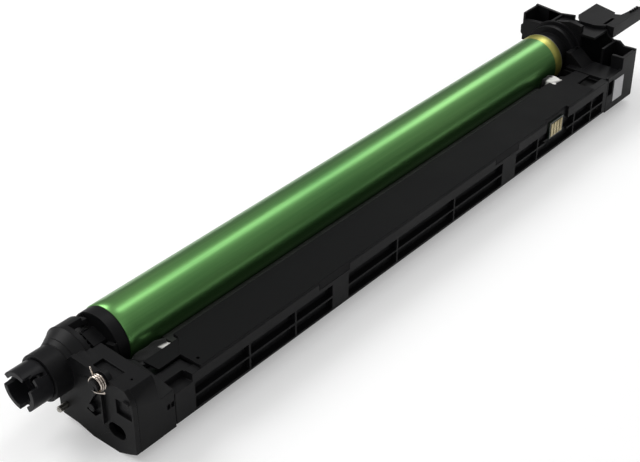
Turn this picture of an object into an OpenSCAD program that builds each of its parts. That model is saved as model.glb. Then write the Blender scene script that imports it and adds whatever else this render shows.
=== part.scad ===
// Imaging drum unit: a long moulded frame that carries a coated drum tube, its cleaning blade,
// charge roller, waste toner auger and the gear train between them.
// Origin: on the drum axis, at the mouth of the drive coupling. +X runs along the drum to the grip
// end, +Y points to the open side of the drum, +Z is up.

/* [Drum] */
// Outside diameter of the drum tube
drum_d = 30; // [29:0.1:31]
// Length of the drum tube
tube_len = 355; // [330:1:380]
// Wall of the drum tube
tube_wall = 1; // [0.7:0.1:1.2]
// Length of each end flange inside the tube
plug_len = 12; // [8:0.5:16]
// Thickness of the drive flange's disc in front of the tube
disc_t = 6; // [5:0.5:7]
// Height of the lugs on the drive flange's disc
lug_h = 1.8; // [1:0.1:2]
// Width across the flats of the drive flange's six-sided boss
boss_flats = 14.2; // [13:0.1:15]
// Diameter of the drive flange's shaft
shaft_d = 10; // [9:0.1:11]
// Diameter of the steel pin that carries the far end of the drum
pin_d = 6; // [5:0.1:7]
// Diameter of the same pin inside the drum and the far end frame
pin_shank_d = 5.4; // [4.6:0.1:6]
// Free length of the steel pin outside the far end plate
pin_out = 5; // [4:0.5:8]

/* [Drive coupling] */
// Length of the coupling in front of the collar
coupling_len = 11; // [9:0.5:14]
// Outside diameter of the coupling
coupling_d = 19.2; // [18.6:0.1:20]
// Bore of the coupling's socket
socket_d = 14.4; // [13:0.1:15]
// Depth of the coupling's socket
socket_depth = 8.5; // [6:0.5:8.5]
// Angle that each set-back of the coupling's rim spans
notch_span = 36; // [24:1:44]
// Depth of each set-back of the coupling's rim
notch_depth = 4; // [2.5:0.1:5]
// Width of the narrow slot beside each set-back
slot_w = 1.4; // [1:0.1:2]
// Depth of the narrow slot from the coupling's mouth
slot_depth = 9.8; // [7:0.1:10]
// Outside diameter of the sleeve that runs in the bush
sleeve_d = 15; // [14:0.1:15.6]

/* [Bearing collar] */
// Outside diameter of the bearing collar
collar_d = 22.2; // [21.6:0.1:23.2]
// Length of the collar in front of the end plate
collar_len = 9.5; // [8:0.5:11]
// Wall of the plain bush
bush_wall = 1.5; // [1:0.1:1.8]
// Outside diameter of the gear hump
hump_d = 30.6; // [30:0.1:32]
// Outside diameter of the neck between hump and drum
neck_d = 27; // [26:0.1:28]

/* [Gears] */
// Gear module
gear_m = 0.8; // [0.8:0.005:0.82]
// Teeth on the drum gear
drum_teeth = 26; // [26]
// Teeth on the idler gear
idler_teeth = 22; // [22]
// Teeth on the auger gear
auger_teeth = 20; // [20]
// Face width of the gears
gear_w = 7.5; // [6:0.5:8]
// Backlash at the pitch circle
backlash = 0.16; // [0.1:0.02:0.24]

/* [Frame] */
// Distance from the drum axis to the outer side wall
side_out = 46; // [45:0.5:50]
// Distance from the drum's surface down to the lower edge of the side wall
skirt_drop = 6.5; // [6.5:0.5:9]
// Distance from the drum's surface down to the feet of the end frames
foot_drop = 12.3; // [11:0.1:14]
// Wall thickness of the mouldings
wall = 1.5; // [1.2:0.1:1.8]
// Depth of the rib pockets in the side wall
pocket_depth = 3; // [2:0.1:3.4]
// Thickness of the pocket ribs
rib_t = 1.2; // [1:0.1:1.6]
// Distance from the drum axis down to the top of the side wall
wall_top_drop = 1; // [0.5:0.1:1.5]

/* [Cover] */
// Thickness of the top cover
cover_t = 1.6; // [1.2:0.1:2]
// Distance from the drum axis to the cover's drum edge
cover_edge = 21.8; // [20.5:0.1:22.5]
// Width of each snap tab
tab_w = 22; // [16:1:26]
// Height of the snap tabs below the cover
tab_h = 3.2; // [2.4:0.1:4]

/* [Cleaning and charging] */
// Free length of the cleaning blade in front of its bracket
blade_free = 7.2; // [6:0.1:7.4]
// Distance of the cleaning blade's ends from the drum tube's ends, on average
blade_inset = 23.5; // [22:0.5:28]
// Thickness of the cleaning blade
blade_t = 1.8; // [1.4:0.1:2]
// Thickness of the blade bracket's sheet
sheet_t = 1.2; // [1:0.1:1.4]
// Diameter of the charge roller's rubber
charge_d = 10; // [9:0.1:10.4]
// Diameter of the charge roller's core
charge_core_d = 6; // [5:0.1:6.4]
// Distance of the charge roller's ends from the drum tube's ends
charge_inset = 17.5; // [17:0.5:21]
// Diameter of the cleaner roller's foam
cleaner_d = 6; // [5:0.1:6.2]
// Diameter of the cleaner roller's core
cleaner_core_d = 3.2; // [2.6:0.1:3.6]
// Outside diameter of the auger's flight
auger_d = 10.6; // [9.6:0.1:11]
// Diameter of the auger's shaft
auger_core_d = 4.4; // [4:0.1:5]
// Pitch of the auger's flight
auger_pitch = 22; // [18:1:30]

/* [Grip end] */
// Length of the far end frame along the drum
far_len = 32; // [30:0.5:36]
// Reach of the grip plate past the far end plate
grip_reach = 24; // [20:1:28]
// Reach of the grip arm past the grip plate
arm_reach = 16; // [12:1:20]
// Thickness of the grip plate
grip_t = 2.2; // [1.8:0.1:2.6]

/* [Memory chip] */
// Length of the chip board along the frame
chip_len = 14; // [12:0.5:16]
// Height of the chip board
chip_h = 10; // [8:0.5:11]

/* [Hidden] */

$fn = 72;
eps = 0.01;
fit = 0.03;
run = 0.05;
plug_fit = 0.08;
air = 0.3;

black = "#26262a";
soft_black = "#303034";
steel = "#b9b6ae";
green = "#5c8a55";

// Stations along the drum axis, from the coupling's mouth
plate_t = 2.5;
hump_len = 15;
neck_len = 2.8;
plate_x = coupling_len + collar_len;
block_x = plate_x + plate_t;
hump_end = block_x + hump_len;
disc_x = hump_end + neck_len + lug_h + 2 * air - 0.2;
tube_x = disc_x + disc_t;
tube_end = tube_x + tube_len;
frame_x = tube_x - 5.2;
gear_x = block_x + 3;
gear_end = gear_x + gear_w;
hump_wall_x = hump_end - 2.5;
cone_x = block_x + 5;
step_x = hump_end - 2.4;
far_x = tube_end + 1;
far_plate_t = 2;
far_out = far_x + far_len;
inner_plate_x = far_x + 16;
inner_plate_t = 3;

// Heights and distances across the frame
drum_r = drum_d / 2;
frame_z = -drum_r - skirt_drop;
base_z = frame_z - 1;
foot_z = -drum_r - foot_drop;
floor_z = frame_z + wall;
wall_top = -wall_top_drop;
cover_top = wall_top + cover_t;
side_in = side_out - pocket_depth - wall;
bracket_top = wall_top - 2.2;
bracket_low = bracket_top - sheet_t;
ledge_t = 1.6;
rim_top = wall_top - 0.6;
pocket_floor = wall_top - 4;
pocket_y = 40;
tongue_y = 34;
deck_len = 17;
deck_t = 5;

// Charge roller and its cleaner roller, below the drum on the frame side
charge_angle = 225;
charge_r = charge_d / 2;
charge_dist = drum_r + charge_r + air;
charge_y = charge_dist * cos(charge_angle);
charge_z = charge_dist * sin(charge_angle);
cleaner_angle = 195;
cleaner_r = cleaner_d / 2;
cleaner_dist = charge_r + cleaner_r + air;
cleaner_y = charge_y + cleaner_dist * cos(cleaner_angle);
cleaner_z = charge_z + cleaner_dist * sin(cleaner_angle);
charge_x = tube_x + charge_inset;
charge_len = tube_len - 2 * charge_inset;
bearing_t = 5;
bearing_gap = 1;
near_bearing_x = charge_x - bearing_gap - bearing_t;
far_bearing_x = charge_x + charge_len + bearing_gap;

// Lip of the long frame under the drum
lip_gap = 2.85;
lip_y = -charge_y - charge_r - lip_gap;

// Blade, felts and the partition beside the rollers
blade_len = tube_len - 2 * blade_inset;
blade_shift = 5;
blade_x = tube_x + blade_inset - blade_shift;
blade_top_y = sqrt(drum_r * drum_r - bracket_low * bracket_low) + air;
bracket_front = blade_top_y + blade_free;
partition_y = -cleaner_y + cleaner_r + 0.9;
partition_t = 1.4;
ledge_reach = 1.8;

// Gear train
drum_pitch_r = gear_m * drum_teeth / 2;
idler_pitch_r = gear_m * idler_teeth / 2;
auger_pitch_r = gear_m * auger_teeth / 2;
auger_y = -34;
auger_z = -11.5;
auger_dist = sqrt(auger_y * auger_y + auger_z * auger_z);
auger_angle = atan2(auger_z, auger_y);
mesh_a = drum_pitch_r + idler_pitch_r;
mesh_b = idler_pitch_r + auger_pitch_r;
idler_along = (mesh_a * mesh_a - mesh_b * mesh_b + auger_dist * auger_dist) / (2 * auger_dist);
idler_aside = sqrt(max(0, mesh_a * mesh_a - idler_along * idler_along));
idler_y = idler_along * cos(auger_angle) - idler_aside * sin(auger_angle);
idler_z = idler_along * sin(auger_angle) + idler_aside * cos(auger_angle);
idler_post_d = 5;

// Walks along the X axis: a child drawn in the XY plane stands in the YZ plane
module along_x(x) {
    translate([x, 0, 0]) rotate([90, 0, 90]) children();
}

module slab(x0, x1, y0, y1, z0, z1) {
    translate([min(x0, x1), min(y0, y1), min(z0, z1)])
        cube([abs(x1 - x0), abs(y1 - y0), abs(z1 - z0)]);
}

module rod(x0, x1, d, y = 0, z = 0) {
    along_x(x0) translate([y, z, 0]) cylinder(h = x1 - x0, d = d);
}

module ring(x0, x1, d_out, d_in, y = 0, z = 0) {
    difference() {
        rod(x0, x1, d_out, y, z);
        rod(x0 - 1, x1 + 1, d_in, y, z);
    }
}

module sector(r, a0, a1) {
    polygon(concat([[0, 0]], [for (i = [0 : 8]) let (a = a0 + (a1 - a0) * i / 8) [r * cos(a), r * sin(a)]]));
}

// Involute gear outline, one tooth centred on angle 0
function involute(a) = tan(a) * 180 / PI - a;
function half_tooth(r, rb, z, slack) = 90 / z + involute(20) - involute(acos(min(1, rb / r))) - slack;
function gear_outline(z, phase) =
    let (rp = gear_m * z / 2, rb = rp * cos(20), ra = rp + gear_m, rf = rp - 1.25 * gear_m)
    let (slack = backlash / 2 / rp * 180 / PI, start = max(rb, rf))
    let (radii = [for (i = [0 : 3]) start + (ra - start) * i / 3])
    [for (t = [0 : z - 1]) let (c = phase + 360 * t / z, foot = half_tooth(start, rb, z, slack))
        each concat(
            [[rf * cos(c - foot), rf * sin(c - foot)]],
            [for (r = radii) let (a = c - half_tooth(r, rb, z, slack)) [r * cos(a), r * sin(a)]],
            [for (i = [3 : -1 : 0]) let (r = radii[i], a = c + half_tooth(r, rb, z, slack)) [r * cos(a), r * sin(a)]],
            [[rf * cos(c + foot), rf * sin(c + foot)]])];

// Tooth phases that leave a gap of each gear opposite a tooth of the one before
drum_idler_angle = atan2(idler_z, idler_y);
idler_phase = drum_idler_angle + 180 - 180 / idler_teeth;
idler_auger_angle = atan2(auger_z - idler_z, auger_y - idler_y);
idler_fraction = (idler_auger_angle - idler_phase) / (360 / idler_teeth);
auger_phase = idler_auger_angle + 180 - (0.5 - idler_fraction) * 360 / auger_teeth;

module gear(z, phase, x, w, y = 0, zc = 0) {
    along_x(x) translate([y, zc, 0]) linear_extrude(w) polygon(gear_outline(z, phase));
}

// Wire swept along a helix round the X axis, with a straight tangent leg at each end
module coil(mean_r, wire_d, turns, pitch, steps, leg_in = 0, leg_out = 0, sides = 6) {
    n = round(turns * steps);
    stations = concat(leg_in > 0 ? [[0, -leg_in]] : [], [for (i = [0 : n]) [i, 0]],
        leg_out > 0 ? [[n, leg_out]] : []);
    rings = [for (s = stations) let (a = 360 * s[0] / steps)
        [for (j = [0 : sides - 1]) let (b = 360 * j / sides, r = mean_r + wire_d / 2 * cos(b))
            [pitch * s[0] / steps + wire_d / 2 * sin(b), r * cos(a) - s[1] * sin(a), r * sin(a) + s[1] * cos(a)]]];
    sweep(rings, sides);
}

// Skin over a row of rings with the same number of points
module sweep(rings, sides) {
    n = len(rings) - 1;
    polyhedron(
        points = [for (r = rings) each r],
        faces = concat(
            [[for (j = [0 : sides - 1]) j]],
            [for (i = [0 : n - 1], j = [0 : sides - 1]) let (k = (j + 1) % sides)
                each [[i * sides + j, (i + 1) * sides + j, (i + 1) * sides + k],
                      [i * sides + j, (i + 1) * sides + k, i * sides + k]]],
            [[for (j = [sides - 1 : -1 : 0]) n * sides + j]]),
        convexity = 10);
}

// Drum

plug_d = drum_d - 2 * tube_wall - 2 * plug_fit;
plug_wall = 2.5;
shaft_flat = 1;
boss_turn = 53;
lug_angles = [45, 165, 285];

module drum_tube() {
    color(green) ring(tube_x, tube_end, drum_d, drum_d - 2 * tube_wall);
}

module drive_flange() {
    boss_x = hump_wall_x + 0.6;
    color(black) difference() {
        union() {
            rod(disc_x, tube_x, drum_d - 0.8);
            rod(tube_x - eps, tube_x + plug_len, plug_d);
            along_x(boss_x) rotate(boss_turn) linear_extrude(disc_x - boss_x + eps)
                polygon([for (i = [0 : 5]) boss_flats / 2 / cos(30) * [cos(60 * i + 30), sin(60 * i + 30)]]);
            rod(plate_x - 3, boss_x + eps, shaft_d);
            for (a = lug_angles)
                along_x(disc_x - lug_h) rotate(a) linear_extrude(lug_h + eps)
                    translate([drum_r - 6.6, -2]) square([5.6, 4]);
        }
        rod(tube_x + 2, tube_x + plug_len + 1, plug_d - 2 * plug_wall);
        slab(plate_x - 4, gear_end, shaft_d / 2 - shaft_flat, shaft_d, -shaft_d, shaft_d);
    }
}

// The shaft's flat, as it lies inside what it drives
module shaft_bore(x0, x1) {
    difference() {
        rod(x0, x1, shaft_d + 2 * fit);
        slab(x0 - 1, x1 + 1, shaft_d / 2 - shaft_flat + fit, shaft_d, -shaft_d, shaft_d);
    }
}

// Three set-backs in the rim, each with a narrow slot that leans along the barrel
slot_angles = [2, 122, 242];
slot_lean = 8;
notch_lead = 5;

module drive_coupling() {
    color(soft_black) difference() {
        union() {
            rod(0, coupling_len - air, coupling_d);
            rod(coupling_len - air - eps, block_x + 1, sleeve_d);
        }
        rod(-1, socket_depth, socket_d);
        for (a = slot_angles) {
            along_x(-1) linear_extrude(notch_depth + 1)
                sector(coupling_d, a - notch_lead, a - notch_lead + notch_span);
            rotate([a, 0, 0]) rotate([0, -slot_lean, 0]) translate([-1, socket_d / 2 - 1, -slot_w / 2])
                cube([slot_depth + 1, coupling_d, slot_w]);
        }
        shaft_bore(plate_x - 3 - air, block_x + 2);
        rod(socket_depth - 1, plate_x - 2, shaft_d - 3);
    }
}

module drum_gear() {
    color("#d8d4c8") difference() {
        union() {
            gear(drum_teeth, drum_idler_angle, gear_x, gear_w);
            rod(block_x + 1 + air, gear_x + eps, sleeve_d);
        }
        shaft_bore(block_x, gear_end + 1);
    }
}

module far_flange() {
    bore = pin_shank_d + 2 * run;
    x0 = tube_end - plug_len;
    color(black) union() {
        difference() {
            union() {
                rod(tube_end, tube_end + 0.6, drum_d - 1);
                rod(x0, tube_end + eps, plug_d);
            }
            rod(x0 - 1, tube_end + 1, bore);
            rod(x0 - 1, tube_end - 3, plug_d - 2 * plug_wall);
        }
        ring(x0, tube_end - 3 + eps, pin_d + 5, bore);
    }
}

module earth_contact() {
    x = tube_end - plug_len - 1;
    color(steel) difference() {
        rod(x, x + 0.6, plug_d);
        rod(x - 1, x + 2, pin_shank_d + 2 * run);
        for (a = [0 : 60 : 300])
            along_x(x - 1) rotate(a) linear_extrude(3)
                translate([pin_d / 2 + 2.4, -1]) square([plug_d / 2 - pin_d / 2 - 3.8, 2]);
    }
}

// Groove between a pin's thick nose and the moulding that holds its shank
pin_gap = 0.4;

module drum_pin() {
    nose_x = far_out + pin_gap;
    tip = 0.8;
    color(steel) union() {
        rod(tube_end - plug_len - 4, nose_x + eps, pin_shank_d);
        rod(nose_x, far_out + pin_out - tip, pin_d);
        along_x(far_out + pin_out - tip - eps) cylinder(h = tip, d1 = pin_d, d2 = pin_d - 2 * tip);
    }
}

// Near end: the plate with the bearing collar, and the gear housing behind it

hip_y = -41.9;
hip_z = 9.5;
shoulder_y = -45.5;
shoulder_z = 5.5;
crest_z = 10.2;
lean_z = 2.5;
lean_slope = 16.2;
lean_tilt = 16.7;
lobe_y = [-35, -19];

function near_outline(drop) = [
    [-side_out, base_z], [-side_out, shoulder_z - 1 - drop], [shoulder_y, shoulder_z - drop],
    [hip_y, hip_z - drop], [-27, crest_z - drop], [-10, crest_z + 1 - drop], [0, 0], [1, -10],
    [1, base_z - 1], [-1, base_z - 2], [-10, base_z - 2.5], [lobe_y[1], foot_z], [lobe_y[0], foot_z],
    [4 - side_out, base_z - 2]];

// Slope that takes off the block's outer upper corner and sinks towards the long frame
module corner_lean() {
    translate([plate_x, -side_out, lean_z]) rotate([0, lean_slope, 0]) rotate([-lean_tilt, 0, 0])
        translate([-side_out, -10, 0]) cube([2 * side_out, 10, 30]);
}

// Raised stop bar and recesses of the end plate, as places across the plate
stop_y = -29;
post_place = [-20.4, -10.4];
post_recess = [[-17, -13], [-22, -4], [-26.2, 1], [-28.6, -2], [-28, -9], [-22, -14.4]];
view_hole = [-35, -15.4];
view_hole_r = 3.5;
view_hole_w = 10;

module near_end_plate() {
    bush_bore = near_outer_d + 2 * fit;
    color(black) union() {
        difference() {
            union() {
                along_x(plate_x) linear_extrude(plate_t) union() {
                    polygon(near_outline(0));
                    translate([spring_y, spring_z]) circle(d = spring_post_d + 2 * wall);
                }
                along_x(plate_x) cylinder(h = plate_t, d1 = collar_d + 0.6, d2 = collar_d + 3);
                rod(coupling_len, plate_x + eps, collar_d);
                rod(plate_x - spring_len, plate_x + eps, spring_post_d, spring_y, spring_z);
                slab(plate_x - 1.6, plate_x + eps, stop_y, stop_y + 1.2, -14, 1);
                slab(plate_x - 1, plate_x + eps, -44.6, -41.2, 3.4, 4.4);
            }
            rod(coupling_len - 1, block_x + 1, bush_bore);
            along_x(plate_x - 2) linear_extrude(3.6) polygon(post_recess);
            slab(plate_x - 2, plate_x + 1.4, -44.8, -36, -5, 2.6);
            along_x(plate_x - 1) linear_extrude(plate_t + 2) translate(view_hole) hull()
                for (s = [-1, 1]) translate([s * (view_hole_w / 2 - view_hole_r), 0]) circle(r = view_hole_r);
            rod(plate_x - 1, block_x + 1, guide_shank_d, guide_y, guide_z);
            corner_lean();
        }
        rod(plate_x - 0.6, plate_x + 1.6 + eps, 4, post_place[0], post_place[1]);
    }
}

near_outer_d = sleeve_d + 2 * run + 2 * bush_wall;

module near_bush() {
    color("#c9c2ae") ring(coupling_len, block_x - 0.5, near_outer_d, sleeve_d + 2 * run);
}

guide_d = 3;
guide_shank_d = 2.6;
guide_y = -3.6;
guide_z = -18.2;
guide_out = 5;
guide_tip = 0.6;

module guide_pin() {
    color(steel) union() {
        rod(plate_x - pin_gap - eps, block_x + 4, guide_shank_d - 2 * fit, guide_y, guide_z);
        rod(plate_x - guide_out + guide_tip, plate_x - pin_gap, guide_d, guide_y, guide_z);
        along_x(plate_x - guide_out) translate([guide_y, guide_z, 0])
            cylinder(h = guide_tip + eps, d1 = guide_d - 2 * guide_tip, d2 = guide_d);
    }
}

spring_wire = 0.9;
spring_turns = 3.25;
spring_mean_r = 3.5;
spring_post_d = 2 * (spring_mean_r - spring_wire / 2) - 2 * air;
spring_len = 5;
spring_y = -28.8;
spring_z = 8.5;
spring_turn = -25;

module torsion_spring() {
    pitch = spring_wire + 0.15;
    x = plate_x - 0.3 - spring_wire / 2 - spring_turns * pitch;
    color("#cdb9a8") translate([x, spring_y, spring_z]) rotate([spring_turn, 0, 0])
        coil(spring_mean_r, spring_wire, spring_turns, pitch, 20, 5, 6);
}

idler_room = 2 * (idler_pitch_r + gear_m) + 1.2;
auger_room = 2 * (auger_pitch_r + gear_m) + 1.2;
drum_room = 2 * (drum_pitch_r + gear_m) + 1;
window_angles = [82, 166];
window_x = hump_end - 7.4;
clip_holes = [1.1, 3.4];

module near_end_frame() {
    block_end = frame_x - air;
    color(black) union() {
        difference() {
            union() {
                along_x(block_x) linear_extrude(step_x - block_x) polygon(near_outline(0.8));
                along_x(step_x - eps) linear_extrude(block_end - step_x + eps) polygon([
                    [-side_out, base_z], [-side_out, wall_top - 1.4], [-24, 2], [-drum_r - 1, -1],
                    [-drum_r + 2, -10], [-4, -drum_r - 1], [1, -drum_r - 1], [1, base_z + 2], [-1, base_z]]);
                along_x(block_x) cylinder(h = cone_x - block_x + eps, d1 = collar_d + 3, d2 = hump_d);
                rod(cone_x, hump_end, hump_d);
                rod(hump_end - eps, hump_end + neck_len, neck_d);
            }
            rod(block_x - 1, hump_wall_x, drum_room);
            rod(block_x - 1, hump_wall_x, idler_room, idler_y, idler_z);
            rod(block_x - 1, hump_wall_x, auger_room, auger_y, auger_z);
            rod(hump_wall_x - 1, hump_end + neck_len + 1, neck_d - 4.4);
            rod(hump_wall_x - 1, block_end + 1, auger_core_d - 1 + 2 * run, auger_y, auger_z);
            rod(block_x - 1, block_x + 4 + air, guide_shank_d, guide_y, guide_z);
            along_x(window_x) linear_extrude(hump_end + neck_len + 1 - window_x)
                sector(hump_d / 2 + 0.7, window_angles[0], window_angles[1]);
            slab(block_x + 0.8, block_x + 6.4, -33, -20, crest_z - 2, crest_z + 2);
            translate([block_x + 5.2, -38.2, hip_z - 4]) cylinder(h = 6, d = 1.2, $fn = 24);
            for (x = clip_holes)
                slab(hump_end + x, hump_end + x + 1.7, -side_out - 1, -side_out + 1.2, -10.5, -8);
            for (p = screw_spots)
                rod(block_end - 6, block_end + 1, screw_d, p[0], p[1]);
            corner_lean();
        }
        rod(gear_x - 1, hump_wall_x + eps, idler_post_d, idler_y, idler_z);
    }
}

module idler_gear() {
    color("#d8d4c8") difference() {
        gear(idler_teeth, idler_phase, gear_x, gear_w, idler_y, idler_z);
        rod(gear_x - 1, gear_end + 1, idler_post_d + 2 * run, idler_y, idler_z);
    }
}

module auger_gear() {
    color("#d8d4c8") difference() {
        gear(auger_teeth, auger_phase, gear_x, gear_w, auger_y, auger_z);
        rod(gear_x - 1, gear_end + 1, auger_core_d - 1 + 2 * fit, auger_y, auger_z);
    }
}

// Screw flight on a plain shaft, journals at both ends
module auger() {
    journal_d = auger_core_d - 1;
    x0 = frame_x + wall + 1;
    x1 = tube_end - 3;
    steps = 12;
    n = floor((x1 - x0 - 4) / auger_pitch * steps);
    rings = [for (i = [0 : n]) let (a = 360 * i / steps, x = x0 + 2 + auger_pitch * i / steps)
        [for (p = [[auger_core_d / 2 - 0.6, -0.9], [auger_d / 2, -0.5], [auger_d / 2, 0.5], [auger_core_d / 2 - 0.6, 0.9]])
            [x + p[1], auger_y + p[0] * cos(a), auger_z + p[0] * sin(a)]]];
    color("#e4e0d4") union() {
        rod(x0, x1, auger_core_d, auger_y, auger_z);
        rod(gear_x - 0.6, x0 + eps, journal_d, auger_y, auger_z);
        rod(x1 - eps, far_x + 8, journal_d, auger_y, auger_z);
        sweep([for (r = rings) [r[3], r[2], r[1], r[0]]], 4);
    }
}

// Long frame

screw_d = 2.6;
screw_head_d = 4;
screw_spots = [[3.4 - side_out, frame_z + 2.9], [-12, frame_z + 1.3]];

// Middle of each upright rib, snap tab and chip in the side wall, as shares of the tube's length
rib_at = tube_len * [0.017, 0.1155, 0.203, 0.279, 0.31, 0.42, 0.558, 0.687, 0.721, 0.786, 0.896, 0.952];
tab_at = tube_len * [0.2817, 0.6958];
chip_at = tube_len * 0.842;
window_len = 23;

module side_pockets() {
    top = wall_top - 5.6;
    low = frame_z + 1.4;
    mid = (top + low) / 2;
    stops = concat([frame_x + 1.4 - tube_x], rib_at, [tube_len - 3]);
    for (i = [0 : len(stops) - 2]) {
        x0 = tube_x + stops[i] + rib_t / 2;
        x1 = tube_x + stops[i + 1] - rib_t / 2;
        if (!is_boss(stops[i], stops[i + 1]))
            for (z = [[low, mid - rib_t / 2], [mid + rib_t / 2, top]])
                slab(x0, x1, -side_out - 1, -side_out + pocket_depth, z[0], z[1]);
    }
}

function is_boss(a, b) = b - a < tube_len * 0.037;

module chip_window(z0, z1) {
    slab(tube_x + chip_at - window_len / 2, tube_x + chip_at + window_len / 2,
        -side_out - 1, -side_out + 1.6, z0, z1);
}

module main_frame() {
    x0 = frame_x;
    x1 = far_x - air;
    rim_x = tube_x + 5.4;
    wall_y = -drum_r - 1.5;
    low_wall = charge_z - charge_core_d / 2 - 1;
    color(black) difference() {
        union() {
            slab(x0, x1, -side_out, -lip_y, frame_z, floor_z);
            slab(x0, x1, -side_out, -side_in, frame_z, wall_top);
            slab(x0, x1, -lip_y - wall, -lip_y, frame_z, floor_z + 3);
            slab(x0, x1, -partition_y - partition_t, -partition_y, frame_z, bracket_low);
            slab(x0, x1, -partition_y - 3, -partition_y + ledge_reach, bracket_low - ledge_t, bracket_low);
            for (x = [x0, x1 - wall]) {
                slab(x, x + wall, -side_out, wall_y, frame_z, wall_top - 1.6);
                slab(x, x + wall, -side_out, -lip_y, frame_z, low_wall);
            }
            for (x = [x0, x1 - deck_len])
                slab(x, x + deck_len, -side_in, -partition_y, bracket_low - deck_t, bracket_low);
            slab(x0, rim_x, -pocket_y, -tongue_y, bracket_low - eps, rim_top);
            slab(rim_x, rim_x + 4.6, -side_in - eps, -tongue_y, bracket_low - eps, rim_top);
            slab(x0, rim_x, -side_in - eps, -pocket_y + eps, pocket_floor - wall, pocket_floor);
            for (p = screw_spots, x = [x0, x1 - 7])
                slab(x, x + 7, p[0] - 3, p[0] + 3, frame_z, p[1] + 3);
            for (x = bracket_screw_x)
                slab(x - 4, x + 4, -side_in - eps, bracket_screw_y + 1.6, bracket_low - screw_boss, bracket_low);
        }
        side_pockets();
        slab(x0 - 1, rim_x, -side_out - 1, -pocket_y, pocket_floor, wall_top + 1);
        rod(x0 - 1, x0 + deck_len + 2, auger_d + 1, auger_y, auger_z);
        rod(x1 - deck_len - 2, x1 + 1, auger_d + 1, auger_y, auger_z);
        for (x = tab_at)
            slab(tube_x + x - tab_w / 2 - 0.2, tube_x + x + tab_w / 2 + 0.2, -side_out - 1, -side_out + 1,
                wall_top - tab_h - 0.2, wall_top + 1);
        chip_window(wall_top - 16, wall_top + 1);
        for (p = screw_spots) {
            rod(x0 - 1, x0 + 6, screw_d, p[0], p[1]);
            rod(x1 - 6, x1 + 1, screw_d, p[0], p[1]);
        }
        for (x = bracket_screw_x)
            translate([x, bracket_screw_y, bracket_low - screw_boss - 1]) cylinder(h = screw_boss + 2, d = screw_d);
    }
}

tongue_step = 0.6;

module top_cover() {
    x0 = tube_x + 10.5;
    x1 = far_x - 4;
    x2 = tube_end - 16.4;
    slant = 8;
    slant_y = cover_edge + 3;
    color(soft_black) difference() {
        union() {
            translate([0, 0, wall_top]) linear_extrude(cover_t) polygon([
                [x0, -side_out], [x0, -tongue_y], [x0 + slant, -slant_y], [x0 + slant, -cover_edge],
                [x1 - 14, -cover_edge], [x1 - 10, -slant_y], [x1, -slant_y - 1], [x1, -tongue_y - 1],
                [x2, -tongue_y - 1], [x2, -side_out]]);
            translate([0, 0, wall_top]) linear_extrude(cover_t - tongue_step) polygon([
                [tube_x - 2, -tongue_y + 0.2], [tube_x - 2.4, -slant_y], [x0 + slant + 1, -slant_y],
                [x0 + 1.4, -tongue_y + 0.2]]);
            slab(x0 + 16, x1 - 20, -cover_edge - 1.4, -cover_edge, bracket_top, wall_top + eps);
            slab(x0 + slant, x1 - 26, -side_in + 0.2, -side_in + 1.6, wall_top - 2, wall_top + eps);
            for (x = tab_at)
                slab(tube_x + x - tab_w / 2, tube_x + x + tab_w / 2, -side_out, -side_out + 0.9,
                    wall_top - tab_h, wall_top + eps);
        }
        translate([x0 + 3, -side_out + 4.4, wall_top - 1]) cylinder(h = cover_t + 2, d = 1.6, $fn = 24);
        chip_window(wall_top - 1, cover_top + 1);
    }
}

// Blade, bracket and seals

bracket_x = tube_x + 11;
bracket_end = tube_end - 18;
bracket_back = -side_in + 0.6;
bracket_screw_y = -39;
bracket_screw_x = [bracket_x + 4, bracket_end - 4];
screw_boss = 2.6;
felt_front = partition_y - ledge_reach - 0.2;

module blade_bracket() {
    color(steel) difference() {
        union() {
            slab(bracket_x, bracket_end, bracket_back, -bracket_front, bracket_low, bracket_top);
            slab(bracket_x + 12, bracket_end - 12, bracket_back, bracket_back + sheet_t,
                bracket_low - 4.6, bracket_low + eps);
        }
        slab(bracket_x - 1, blade_x, -felt_front - air, -bracket_front + 1, bracket_low - 1, bracket_top + 1);
        for (x = bracket_screw_x) translate([x, bracket_screw_y, bracket_low - 1]) cylinder(h = 4, d = 3);
    }
}

module cleaning_blade() {
    back = partition_y - ledge_reach - air;
    color("#3a3a38") slab(blade_x, blade_x + blade_len, -back, -blade_top_y, bracket_low - blade_t, bracket_low);
}

module bracket_screws() {
    length = screw_boss - air;
    color(steel) for (x = bracket_screw_x) translate([x, bracket_screw_y, 0]) {
        translate([0, 0, bracket_low - length]) cylinder(h = length + sheet_t, d = screw_d - 2 * fit);
        translate([0, 0, bracket_top]) difference() {
            cylinder(h = 1.5, d = screw_head_d);
            for (a = [0, 90]) translate([0, 0, 1.1]) rotate(a) cube([2.4, 0.6, 1.6], center = true);
        }
    }
}

module felt_seal(x, len_x, front) {
    color("#d9d6cf") slab(x, x + len_x, -front, -drum_r - 0.6 - air, bracket_low - 1, bracket_top);
}

near_felt_len = 9;
far_felt_len = 14;
module felt_seal_near() { felt_seal(blade_x - air - near_felt_len, near_felt_len, felt_front); }
module felt_seal_far() { felt_seal(blade_x + blade_len + air, far_felt_len, bracket_front - air); }

module film_seal() {
    color("#8a8f94") slab(tube_x + 8, tube_end - 8, -lip_y - wall, -lip_y, floor_z + 3, floor_z + 3.2);
}

// Chip and label

chip_x = tube_x + chip_at - chip_len / 2;
chip_top = wall_top - 2;
contact_count = 4;
contact_gap = 0.8;
label_at = [8, 19];
label_z = [-18, -4];

module chip_board() {
    color("#2f6b4a") slab(chip_x, chip_x + chip_len, -side_out + 0.5, -side_out + 1.6, chip_top - chip_h, chip_top);
}

module chip_contacts() {
    pitch = (chip_len - 2 * contact_gap) / contact_count;
    color("#d9b95c") for (i = [0 : contact_count - 1]) let (x = chip_x + contact_gap + pitch * i)
        slab(x + contact_gap / 2, x + pitch - contact_gap / 2, -side_out + 0.2, -side_out + 0.5,
            chip_top - chip_h + 1, chip_top - 1);
}

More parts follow.
